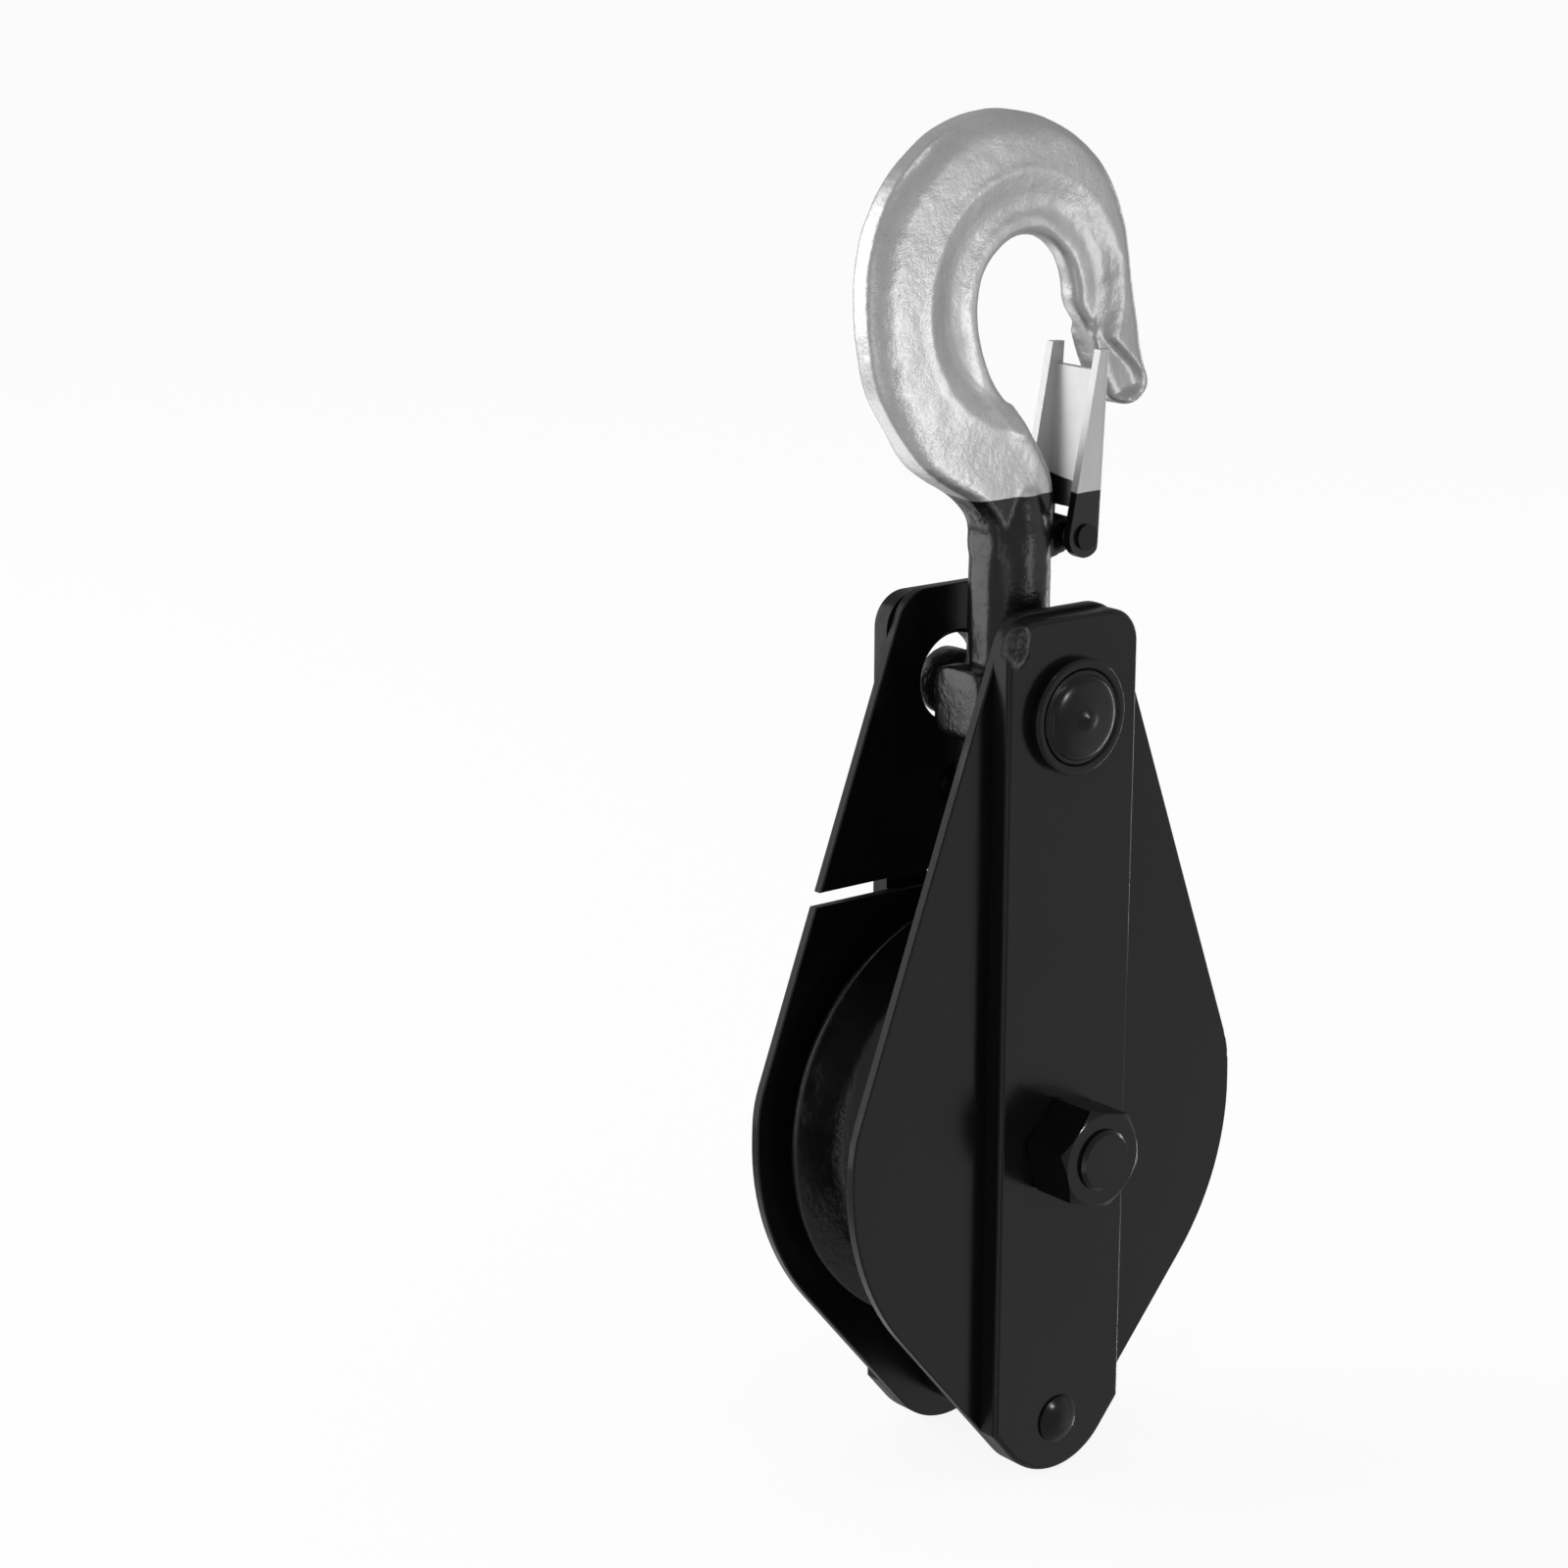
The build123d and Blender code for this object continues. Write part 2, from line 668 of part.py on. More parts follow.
with BuildPart() as hook:
    with BuildSketch(Plane.XZ):
        add(hook_outline())
    extrude(amount=band_thickness / 2, both=True)
    fillet(hook.faces().filter_by(Axis.Y).edges(), band_rounding)
    add(hook_rim.part)
    add(nose_rib.part)
    # Round shank with flat sides, tapering into the forging
    with BuildSketch(Plane.XY.offset(trunnion_height)):
        with Locations((shank_offset, 0)):
            Circle(shank_radius)
            Rectangle(2 * shank_half_width, 2 * shank_radius, mode=Mode.INTERSECT)
    extrude(amount=shank_top_height - trunnion_height)
    with BuildSketch(Plane.XY.offset(shank_top_height)):
        with Locations((shank_offset, 0)):
            Circle(shank_radius)
            Rectangle(2 * shank_half_width, 2 * shank_radius, mode=Mode.INTERSECT)
    extrude(amount=neck_top_height - shank_top_height, taper=neck_taper)
    # Cross barrel and tail
    with BuildSketch(Plane.XY.offset(trunnion_height)) as barrel_profile:
        Rectangle(2 * foot_half_length, 2 * foot_radius)
        fillet(barrel_profile.vertices(), foot_rounding)
        with Locations((0, foot_radius / 2)):
            Rectangle(2 * foot_half_length, foot_radius, mode=Mode.INTERSECT)
    revolve(axis=Axis((0, 0, trunnion_height), (1, 0, 0)))
    with BuildSketch(Plane.XY.offset(tail_bottom_height)):
        RectangleRounded(tail_width, tail_thickness, tail_rounding)
    extrude(amount=trunnion_height - tail_bottom_height)
    # Trunnions
    with BuildSketch(Plane.XY.offset(trunnion_height)):
        with BuildLine():
            dome_base = -strap_outside - washer_flange
            dome_edge = dome_base - dome_side
            dome_front = dome_edge - dome_rise
            collar_front = -plate_inside + collar_clearance
            Polyline(
                (0, dome_front - dome_tip_rise),
                (0, trunnion_rear_reach),
                (trunnion_radius - trunnion_end_chamfer, trunnion_rear_reach),
                (trunnion_radius, trunnion_rear_reach - trunnion_end_chamfer),
                (trunnion_radius, collar_front + trunnion_collar_width),
                (trunnion_collar_radius, collar_front + trunnion_collar_width),
                (trunnion_collar_radius, collar_front),
                (trunnion_radius, collar_front),
                (trunnion_radius, dome_base),
                (dome_radius, dome_base),
                (dome_radius, dome_edge),
            )
            ThreePointArc(
                (dome_radius, dome_edge),
                (dome_shoulder_radius, dome_edge - dome_shoulder_rise),
                (dome_tip_radius, dome_front),
            )
            Line((dome_tip_radius, dome_front), (0, dome_front - dome_tip_rise))
        make_face()
    revolve(axis=axle_line(trunnion_height))
    # Lug of the latch
    with BuildSketch(Plane.XZ):
        with Locations(latch_pivot):
            Circle(latch_lug_radius)
        with Locations((shank_offset + shank_half_width, latch_pivot[1])):
            Rectangle(latch_lug_overlap, latch_lug_root)
        make_hull()
    extrude(amount=latch_lug_thickness / 2, both=True)
    with BuildSketch(Plane.XZ):
        with Locations(latch_pivot):
            Circle(latch_pin_radius + press_clearance)
    extrude(amount=latch_width, both=True, mode=Mode.SUBTRACT)

with BuildPart() as trunnion_washer:
    with BuildSketch(Plane.XY.offset(trunnion_height)) as washer_profile:
        washer_bore = trunnion_radius + washer_bore_clearance
        with Locations(((washer_bore + washer_radius) / 2, -strap_outside - washer_flange / 2)):
            Rectangle(washer_radius - washer_bore, washer_flange)
        with Locations((washer_radius - washer_rim_width / 2, -strap_outside - washer_rim_height / 2)):
            Rectangle(washer_rim_width, washer_rim_height)
        fillet(washer_profile.vertices().group_by(Axis.Y)[0], washer_rounding)
    revolve(axis=axle_line(trunnion_height))

# Latch: folded channel, open towards the shank
with BuildPart() as latch:
    top_outer = (latch_top_edge, latch_top_height)
    top_inner = (latch_top_edge - latch_top_depth, latch_top_height)
    foot_outer = touch_point(latch_pivot, latch_foot_radius, top_outer, -1)
    foot_inner = touch_point(latch_pivot, latch_foot_radius, top_inner, 1)
    with BuildSketch(Plane.XZ):
        with BuildLine():
            Polyline(foot_outer, top_outer, top_inner, foot_inner)
            ThreePointArc(foot_inner, (latch_pivot[0], latch_pivot[1] - latch_foot_radius), foot_outer)
        make_face()
    extrude(amount=latch_width / 2, both=True)
    web_direction = (top_outer[0] - foot_outer[0], 0, top_outer[1] - foot_outer[1])
    with BuildSketch(Plane((top_outer[0], 0, top_outer[1]), x_dir=(0, 1, 0), z_dir=web_direction)) as bends:
        with Locations((0, latch_top_height / 2)):
            Rectangle(latch_width, latch_top_height)
        fillet(bends.vertices().group_by(Axis.Y)[0], latch_bend_rounding)
    extrude(amount=latch_top_height, both=True, mode=Mode.INTERSECT)
    with BuildSketch(Plane.XZ):
        Polygon(
            (0, foot_outer[1]),
            (foot_outer[0] - latch_sheet, foot_outer[1]),
            (top_outer[0] - latch_sheet, latch_top_height),
            (0, latch_top_height),
            align=None,
        )
        with Locations((latch_pivot[0], latch_pivot[1] + latch_web_rise - sheave_radius)):
            Rectangle(2 * foot_outer[0], sheave_diameter)
        with Locations((latch_pivot[0], latch_web_top + latch_web_rise)):
            Rectangle(2 * foot_outer[0], 2 * latch_web_rise)
    extrude(amount=latch_inside, both=True, mode=Mode.SUBTRACT)
    with BuildSketch(Plane.XZ):
        with Locations(latch_pivot):
            Circle(latch_pin_radius + running_clearance)
    extrude(amount=latch_width, both=True, mode=Mode.SUBTRACT)

with BuildPart() as latch_pin:
    head_start = latch_width / 2 + running_clearance
    with BuildSketch(Plane.XZ):
        with Locations(latch_pivot):
            Circle(latch_pin_radius)
    extrude(amount=head_start, both=True)
    for side in sides.values():
        with BuildSketch(cheek_plane(side * (head_start + latch_pin_head_height / 2))):
            with Locations(latch_pivot):
                Circle(latch_pin_head_radius)
        extrude(amount=latch_pin_head_height / 2, both=True)

with BuildPart() as latch_spring:
    spring_start = -latch_inside + running_clearance + spring_wire_radius
    coil_base = (latch_pivot[0], spring_start, latch_pivot[1])
    with BuildLine():
        coil = Helix(
            spring_pitch,
            spring_pitch * spring_turns,
            spring_radius,
            center=coil_base,
            direction=(0, 1, 0),
            lefthand=True,
        )
    with BuildSketch(Plane(origin=coil @ 0, z_dir=coil % 0)):
        Circle(spring_wire_radius)
    sweep(path=coil)
    with BuildLine():
        leg_bottom = coil @ 1 - (0, 0, spring_wire_radius)
        leg_top = coil @ 1 + (-spring_leg * spring_leg_lean, 0, spring_leg)
        leg = Line(leg_bottom, leg_top)
    with BuildSketch(Plane(origin=leg @ 0, z_dir=leg % 0)):
        Circle(spring_wire_radius)
    sweep(path=leg)

pieces = [
    (front_plate, "front_plate"),
    (front_strap, "front_strap"),
    (rear_plate, "rear_plate"),
    (rear_strap, "rear_strap"),
    (gate_plate, "gate_plate"),
    (gate_strap, "gate_strap"),
    (gate_rivet, "gate_rivet"),
    (hinge_pin, "hinge_pin"),
    (sheave, "sheave"),
    (axle_sleeve, "axle_sleeve"),
    *bearing_parts,
    (axle_bolt, "axle_bolt"),
    (axle_nut, "axle_nut"),
    (bottom_rivet, "bottom_rivet"),
    (bottom_spacer, "bottom_spacer"),
    (hook, "hook"),
    (trunnion_washer, "trunnion_washer"),
    (latch, "latch"),
    (latch_pin, "latch_pin"),
    (latch_spring, "latch_spring"),
]
for piece, piece_name in pieces:
    piece.part.label = piece_name
    export_step(piece.part, f"parts/{piece_name}.step")
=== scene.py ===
import math

import bmesh
import bpy
import numpy as np
from mathutils import Matrix, Vector, noise


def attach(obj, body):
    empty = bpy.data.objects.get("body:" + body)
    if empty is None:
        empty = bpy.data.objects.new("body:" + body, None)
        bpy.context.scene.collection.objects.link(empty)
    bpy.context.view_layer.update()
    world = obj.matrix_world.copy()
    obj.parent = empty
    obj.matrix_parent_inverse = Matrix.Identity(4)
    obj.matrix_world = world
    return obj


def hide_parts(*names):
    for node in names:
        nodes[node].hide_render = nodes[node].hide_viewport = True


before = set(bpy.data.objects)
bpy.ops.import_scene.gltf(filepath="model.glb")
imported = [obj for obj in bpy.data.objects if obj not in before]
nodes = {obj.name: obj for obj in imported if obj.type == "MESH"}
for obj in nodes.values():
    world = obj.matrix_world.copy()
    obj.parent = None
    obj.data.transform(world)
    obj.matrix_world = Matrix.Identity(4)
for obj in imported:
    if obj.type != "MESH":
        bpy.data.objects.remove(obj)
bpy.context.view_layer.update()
mm = 0.001
print("frame loaded:", len(nodes), "nodes")


# Shader maths

class Signal:
    def __init__(self, finish, socket):
        self.finish = finish
        self.socket = socket

    def combine(self, operation, other, swapped=False, clamp=False):
        values = {0: other, 1: self} if swapped else {0: self, 1: other}
        return self.finish.node("ShaderNodeMath", {"operation": operation, "use_clamp": clamp}, values)

    def __add__(self, other):
        return self.combine("ADD", other)

    def __radd__(self, other):
        return self.combine("ADD", other)

    def __sub__(self, other):
        return self.combine("SUBTRACT", other)

    def __rsub__(self, other):
        return self.combine("SUBTRACT", other, swapped=True)

    def __mul__(self, other):
        return self.combine("MULTIPLY", other)

    def __rmul__(self, other):
        return self.combine("MULTIPLY", other)

    def __truediv__(self, other):
        return self.combine("DIVIDE", other)

    def clamped(self):
        return self.combine("ADD", 0.0, clamp=True)

    def above(self, edge, softness):  # 0 below the edge, 1 above it, over a soft width
        return ((self - edge) / softness + 0.5).clamped()

    def below(self, edge, softness):
        return 1 - self.above(edge, softness)


class Finish:
    def __init__(self, name):
        self.material = bpy.data.materials.new(name)
        self.material.use_nodes = True
        self.tree = self.material.node_tree
        self.tree.nodes.clear()
        self.output = self.tree.nodes.new("ShaderNodeOutputMaterial")
        self.shader = self.tree.nodes.new("ShaderNodeBsdfPrincipled")
        self.show(self.shader.outputs[0])
        self.place = self.node("ShaderNodeTexCoord", output="Object")
        self.facing = Signal(self, self.place.socket.node.outputs["Normal"])

    def node(self, kind, settings=None, values=None, output=0):
        made = self.tree.nodes.new(kind)
        for name, value in (settings or {}).items():
            setattr(made, name, value)
        for key, value in (values or {}).items():
            if isinstance(value, Signal):
                self.tree.links.new(value.socket, made.inputs[key])
            else:
                made.inputs[key].default_value = value
        return Signal(self, made.outputs[output])

    def noise(self, scale, detail=3.0, roughness=0.55, stretch=None):
        place = self.place
        if stretch:
            place = self.node("ShaderNodeMapping", values={"Vector": place, "Scale": stretch})
        values = {"Vector": place, "Scale": scale, "Detail": detail, "Roughness": roughness}
        return self.node("ShaderNodeTexNoise", values=values)

    def axis(self, vector, name):
        return self.node("ShaderNodeSeparateXYZ", values={0: vector}, output=name)

    def distanceFrom(self, centre, reach):  # each axis counts in units of its own reach
        offset = self.node("ShaderNodeVectorMath", {"operation": "SUBTRACT"}, {0: self.place, 1: centre})
        scaled = self.node("ShaderNodeVectorMath", {"operation": "DIVIDE"}, {0: offset, 1: reach})
        return self.node("ShaderNodeVectorMath", {"operation": "LENGTH"}, {0: scaled}, output="Value")

    def blendColour(self, factor, first, second):
        settings = {"data_type": "RGBA", "clamp_factor": True}
        return self.node("ShaderNodeMix", settings, {0: factor, 6: first, 7: second}, output=2)

    def bump(self, height, depth):
        return self.node("ShaderNodeBump", values={"Height": height, "Distance": depth, "Strength": 1.0})

    def mixShaders(self, factor, first, second):
        mixer = self.node("ShaderNodeMixShader", values={0: factor}).socket.node
        self.tree.links.new(first, mixer.inputs[1])
        self.tree.links.new(second, mixer.inputs[2])
        return mixer.outputs[0]

    def show(self, surface):
        self.tree.links.new(surface, self.output.inputs["Surface"])

    def feed(self, **sockets):
        for name, value in sockets.items():
            socket = self.shader.inputs[name.replace("_", " ")]
            if isinstance(value, Signal):
                self.tree.links.new(value.socket, socket)
            else:
                socket.default_value = value
        return self.material


def grey(level):
    return (level, level, level, 1.0)


# Black paint of the cheeks and fasteners

blackPaint = {
    "level": 0.0034,
    "levelGain": 1.7,
    "roughness": 0.22,
    "index": 1.4,
    "cloudScale": 28.0,
    "cloudShine": 0.16,
    "streakScale": 60.0,
    "streakStretch": (1.0, 1.0, 0.18),
    "streakShine": 0.12,
    "peelScale": 420.0,
    "peelDepth": 0.00003,
    "wear": 0.0,  # share of a plate's cut edge that shows the matt undercoat
}

undercoat = {"level": 0.009, "roughness": 0.6, "index": 1.2, "edgeFacing": 0.25, "streakLimit": 0.62}

weldSpot = {
    "centre": (-0.0165, -0.0232, 0.1172),
    "reach": (0.0034, 0.004, 0.0056),
    "ragScale": 260.0,
    "rag": 0.5,
    "crustScale": 900.0,
    "crustHeight": 16.0,
    "lift": 8.0,
    # pale grey put on the weld's crust flecks and, as a painted highlight, round its rim
    "level": 0.12,
    "shine": 0.08,
}


def makeBlackPaint(name, values, spot=None):
    finish = Finish(name)
    cloud = finish.noise(values["cloudScale"], 4.0)
    streak = finish.noise(values["streakScale"], 5.0, 0.65, values["streakStretch"])
    peel = finish.noise(values["peelScale"], 2.0)
    lighter = grey(values["level"] * values["levelGain"])
    colour = finish.blendColour(cloud.above(0.5, 0.5), grey(values["level"]), lighter)
    shine = (cloud - 0.5) * values["cloudShine"] + (streak - 0.5) * values["streakShine"]
    roughness = values["roughness"] + shine
    height = peel * 0.4
    if spot:
        rag = (finish.noise(spot["ragScale"], 3.0) - 0.5) * spot["rag"]
        spread = finish.distanceFrom(spot["centre"], spot["reach"]) + rag
        inside = spread.below(1.0, 0.18)
        # painted highlight: the pale grey ring at the spot's rim stands in for light caught by the raised
        # weld's edge; paler flecks also go on the crust's peaks
        rim = inside * spread.above(0.8, 0.15)
        crust = finish.noise(spot["crustScale"], 4.0, 0.7)
        height = height + inside * (crust * spot["crustHeight"] + spot["lift"])
        paleFlecksAndHighlightRim = inside * crust.above(0.52, 0.2) * 0.5 + rim * 0.5
        colour = finish.blendColour(paleFlecksAndHighlightRim, colour, grey(spot["level"]))
        roughness = roughness - inside * spot["shine"]
    normal = finish.bump(height, values["peelDepth"])
    finish.feed(Base_Color=colour, Roughness=roughness, Normal=normal, IOR=values["index"])
    if values["wear"]:
        wearEdges(finish, undercoat, streak, values["wear"])
    return finish.material


def wearEdges(finish, values, streak, wear):
    shader = {"Base Color": grey(values["level"]), "Roughness": values["roughness"], "IOR": values["index"]}
    matt = finish.node("ShaderNodeBsdfPrincipled", values=shader)
    across = finish.axis(finish.facing, "Y")
    cutEdge = (across * across).below(values["edgeFacing"], 0.3)
    bare = cutEdge * (streak.below(values["streakLimit"], 0.15) * wear)
    finish.show(finish.mixShaders(bare, finish.shader.outputs[0], matt.socket))


# Silver paint of the hook and latch, over a black dip

silverPaint = {
    "level": 0.68,
    "roughness": 0.36,
    "forged": 1.0,  # 1 for a rough forging, near 0 for folded sheet
    "blackLevel": 0.005,
    "blackRoughness": 0.2,
    "dipHeight": 0.1444,
    "dipSlope": 0.12,
    "dipFront": 0.009,
    "dipWaver": 0.0008,
    "dipSoftness": 0.00025,
    # painted shade: where and how much the forged silver is painted darker towards +X, for the light
    # falling off across the hook to the right
    "paintedShadePlace": 0.008,
    "paintedShadeWidth": 0.036,
    "paintedShadeLevel": 0.6,
    "paintedShadeShare": 0.7,
    "speckScale": 1500.0,
    "lumpScale": 210.0,
    "grainScale": 900.0,
    "patchScale": 38.0,
    "relief": 0.00016,
    "index": 1.5,
}

sheetSilver = {**silverPaint, "level": 0.66, "roughness": 0.42, "forged": 0.1}


def makeDippedPaint(name, values):
    finish = Finish(name)
    silver, forged = values["level"], values["forged"]
    slope = (finish.axis(finish.place, "Y") + values["dipFront"]) * values["dipSlope"]
    waver = (finish.noise(90.0, 2.0) - 0.5) * values["dipWaver"]
    height = finish.axis(finish.place, "Z") - slope + waver
    dip = height.above(values["dipHeight"], values["dipSoftness"])  # 0 on the black, 1 on the silver
    cloud = finish.noise(45.0, 5.0, 0.6)
    grain = finish.noise(values["grainScale"], 3.0, 0.7)
    speck = finish.noise(values["speckScale"], 2.0).above(0.66, 0.08) * 0.35 * forged
    bright = finish.blendColour(cloud.above(0.5, 0.45), grey(silver * 0.86), grey(silver * 1.06))
    bright = finish.blendColour(speck, bright, grey(silver * 0.45))
    # painted shade: the silver's colour darkens towards +X, standing in for the light falling off to the
    # right
    paintedShadeToRight = finish.axis(finish.place, "X").above(values["paintedShadePlace"], values["paintedShadeWidth"]) * forged
    bright = finish.blendColour(paintedShadeToRight * values["paintedShadeShare"], bright, grey(silver * values["paintedShadeLevel"]))
    black = values["blackLevel"]
    dark = finish.blendColour(cloud.above(0.5, 0.5), grey(black), grey(black * 1.8))
    base = dip * (values["roughness"] - values["blackRoughness"]) + values["blackRoughness"]
    roughness = base + (grain - 0.5) * 0.2 + (cloud - 0.5) * 0.12
    lump = finish.noise(values["lumpScale"], 3.0, 0.5)
    patches = finish.noise(values["patchScale"], 2.0).above(0.5, 0.3)
    height = lump * (1.5 * forged) + grain * (patches * 0.7 + 0.2) * (forged + 0.1)
    return finish.feed(
        Base_Color=finish.blendColour(dip, dark, bright),
        Roughness=roughness,
        Metallic=dip * (0.5 + 0.3 * forged),
        Normal=finish.bump(height, values["relief"]),
        IOR=values["index"],
    )


# Cast sheave and the ground steel inside it

castPaint = {
    "level": 0.004,
    "crustLevel": 0.008,
    "roughness": 0.24,
    "cloudScale": 60.0,
    "sandScale": 700.0,
    "relief": 0.00014,
    "index": 1.5,
}

bearingFinish = {"level": 0.55, "roughness": 0.25, "ringScale": 300.0, "relief": 0.00001}
springFinish = {**bearingFinish, "level": 0.4, "roughness": 0.35}


def makeCastPaint(name, values):
    finish = Finish(name)
    cloud = finish.noise(values["cloudScale"], 4.0)
    sand = finish.noise(values["sandScale"], 3.0, 0.65)
    crusty = cloud.above(0.56, 0.12)
    colour = finish.blendColour(crusty, grey(values["level"]), grey(values["crustLevel"]))
    roughness = values["roughness"] + (cloud - 0.5) * 0.2
    normal = finish.bump(sand * (crusty * 1.6 + 0.25), values["relief"])
    return finish.feed(Base_Color=colour, Roughness=roughness, Normal=normal, IOR=values["index"])


def makeGroundSteel(name, values):
    finish = Finish(name)
    ring = finish.noise(values["ringScale"], 3.0, 0.6, (1.0, 12.0, 1.0))
    colour = finish.blendColour(ring.above(0.5, 0.6), grey(values["level"] * 0.85), grey(values["level"]))
    roughness = values["roughness"] + (ring - 0.5) * 0.15
    normal = finish.bump(ring, values["relief"])
    return finish.feed(Base_Color=colour, Roughness=roughness, Metallic=1.0, Normal=normal)


cheekPaint = {**blackPaint, "wear": 0.6}
platePaint = makeBlackPaint("cheekBlack", cheekPaint)
strapPaint = makeBlackPaint("strapBlack", cheekPaint, weldSpot)
capPaint = makeBlackPaint("capBlack", {**blackPaint, "roughness": 0.26})
fastenerPaint = makeBlackPaint("fastenerBlack", {**blackPaint, "roughness": 0.2, "peelScale": 600.0})
hookPaint = makeDippedPaint("forgedSilver", silverPaint)
latchPaint = makeDippedPaint("sheetSilver", sheetSilver)
sheavePaint = makeCastPaint("sheaveBlack", castPaint)
bearingSteel = makeGroundSteel("bearingSteel", bearingFinish)
springSteel = makeGroundSteel("springSteel", springFinish)

nodeFinish = {  # the bearing's own pieces are the ones not named here
    "front_plate": platePaint,
    "front_strap": strapPaint,
    "rear_plate": platePaint,
    "rear_strap": platePaint,
    "gate_plate": platePaint,
    "gate_strap": platePaint,
    "gate_rivet": fastenerPaint,
    "hinge_pin": fastenerPaint,
    "axle_bolt": fastenerPaint,
    "axle_nut": fastenerPaint,
    "bottom_rivet": fastenerPaint,
    "bottom_spacer": platePaint,
    "trunnion_washer": fastenerPaint,
    "latch_pin": fastenerPaint,
    "latch": latchPaint,
    "latch_spring": springSteel,
    "hook": hookPaint,
    "sheave": sheavePaint,
}


def dress(piece, material):
    piece.data.materials.clear()
    piece.data.materials.append(material)


for nodeName, node in nodes.items():
    dress(node, nodeFinish.get(nodeName, bearingSteel))
print("finishes made")


# Hook: the forging's stepped inner band, cut-back nose, squared foot and hand-forged unevenness

hookForm = {
    "voxel": 0.62 * mm,
    "smoothing": 4,
    "bandHalf": 3.9 * mm,  # half thickness of the band round the mouth
    "fullHalf": 6.25 * mm,  # and of the thicker outer part
    "bandCentre": (0.5 * mm, 187.0 * mm),
    "bandFoot": 22.0 * mm,
    "bandRidge": 28.5 * mm,
    "softFoot": 20.5 * mm,
    "ridgeHeight": 0.25 * mm,
    "ridgeWidth": 1.2 * mm,
    "crownDepth": 1.6 * mm,
    "crownWidth": 16.0 * mm,
    "beadHeight": 0.65 * mm,
    "beadInset": 3.4 * mm,
    "beadWidth": 1.9 * mm,
    "beadEnd": (2.0 * mm, 15.0 * mm),
    "beadDrop": 20.0 * mm,
    "shoulderDepth": 0.95 * mm,
    "shoulderWidth": 6.0 * mm,
    "swellLimit": 1.12,
    "noseSide": (-4.0 * mm, 16.0 * mm),
    "noseHalf": 4.3 * mm,
    "noseStart": (17.1 * mm, 184.1 * mm),
    "noseEnd": (34.5 * mm, 169.5 * mm),
    "noseStep": (-0.3 * mm, 1.5 * mm),
    "noseRoot": (19.0 * mm, 23.0 * mm),
    "noseBottom": 155.0 * mm,
    "noseMargin": (0.5 * mm, 5.0 * mm),
    "shankFade": (146.0 * mm, 164.0 * mm),
    "footHeight": 99.0 * mm,
    "footRadius": 8.0 * mm,
    "footShoulder": (7.5 * mm, 9.0 * mm),
    "footSquareness": 4.5,
    "lumps": [(11.0 * mm, 0.22 * mm), (4.5 * mm, 0.10 * mm), (1.9 * mm, 0.045 * mm)],  # size, height
    "lumpFade": (100.0 * mm, 140.0 * mm),
    "lumpSink": 0.6,
    "mouthCentre": (2.4 * mm, 187.1 * mm),
    "mouthRadius": 13.5 * mm,
    "bowlCentre": (-5.6 * mm, 191.0 * mm),
    "bowlRadius": 37.0 * mm,
}

hookEdges = {  # x and z in mm, along the forging's outline
    "spine": [(-41.7, 180.2), (-38.7, 169.1), (-32.6, 159.3), (-26.0, 151.8), (-18.1, 146.8)],
    "throat": [(-6.9, 171.0), (-0.2, 162.7), (6.3, 153.7), (9.85, 144.0), (9.85, 131.0)],
    "noseInside": [(26.6, 163.8), (23.4, 170.0), (20.5, 178.5)],
    "noseOutside": [(33.7, 182.0), (35.6, 173.0), (37.9, 166.0), (35.5, 161.9), (32.0, 161.4)],
}


def edgeLine(name):
    return [(x * mm, z * mm) for x, z in hookEdges[name]]


def arcLine(centre, radius, start, stop, step):
    turns = [math.radians(angle) for angle in range(start, stop, step)]
    return [(centre[0] + radius * math.cos(turn), centre[1] + radius * math.sin(turn)) for turn in turns]


def distanceToLine(points, line):
    line = np.array(line)
    nearest = np.full(len(points), np.inf)
    for start, end in zip(line, line[1:]):
        along = end - start
        share = np.clip(((points - start) @ along) / (along @ along), 0, 1)
        nearest = np.minimum(nearest, np.linalg.norm(points - start - share[:, None] * along, axis=1))
    return nearest


def smoothStep(value, low, high):
    share = np.clip((value - low) / (high - low), 0, 1)
    return share * share * (3 - 2 * share)


def bellCurve(value, centre, width):
    return np.exp(-(((value - centre) / width) ** 2))


def looseCopy(nodeName, name):  # a node's mesh comes as loose triangles, so the copy is merged
    shape = bpy.data.meshes.new(name)
    mesh = bmesh.new()
    mesh.from_mesh(nodes[nodeName].data)
    bmesh.ops.remove_doubles(mesh, verts=mesh.verts, dist=1e-6)
    bmesh.ops.recalc_face_normals(mesh, faces=mesh.faces)
    mesh.to_mesh(shape)
    mesh.free()
    piece = bpy.data.objects.new(name, shape)
    bpy.context.scene.collection.objects.link(piece)
    return piece


def evenOut(piece, form):
    remesh = piece.modifiers.new("remesh", "REMESH")
    remesh.mode = "VOXEL"
    remesh.voxel_size = form["voxel"]
    even = piece.modifiers.new("even", "SMOOTH")
    even.factor = 0.5
    even.iterations = form["smoothing"]
    graph = bpy.context.evaluated_depsgraph_get()
    finished = bpy.data.meshes.new_from_object(piece.evaluated_get(graph))
    piece.modifiers.clear()
    piece.data = finished


def readPoints(shape, name):
    values = np.zeros(len(shape.vertices) * 3)
    shape.vertices.foreach_get(name, values)
    return values.reshape(-1, 3)


def movePoints(shape, place):
    shape.vertices.foreach_set("co", place.ravel())
    shape.update()


def solidHalf(spread, form):  # the CAD solid's half thickness, by distance from the band's centre
    share = np.clip((spread - form["bandFoot"]) / (form["bandRidge"] - form["bandFoot"]), 0, 1)
    return form["bandHalf"] + (form["fullHalf"] - form["bandHalf"]) * share


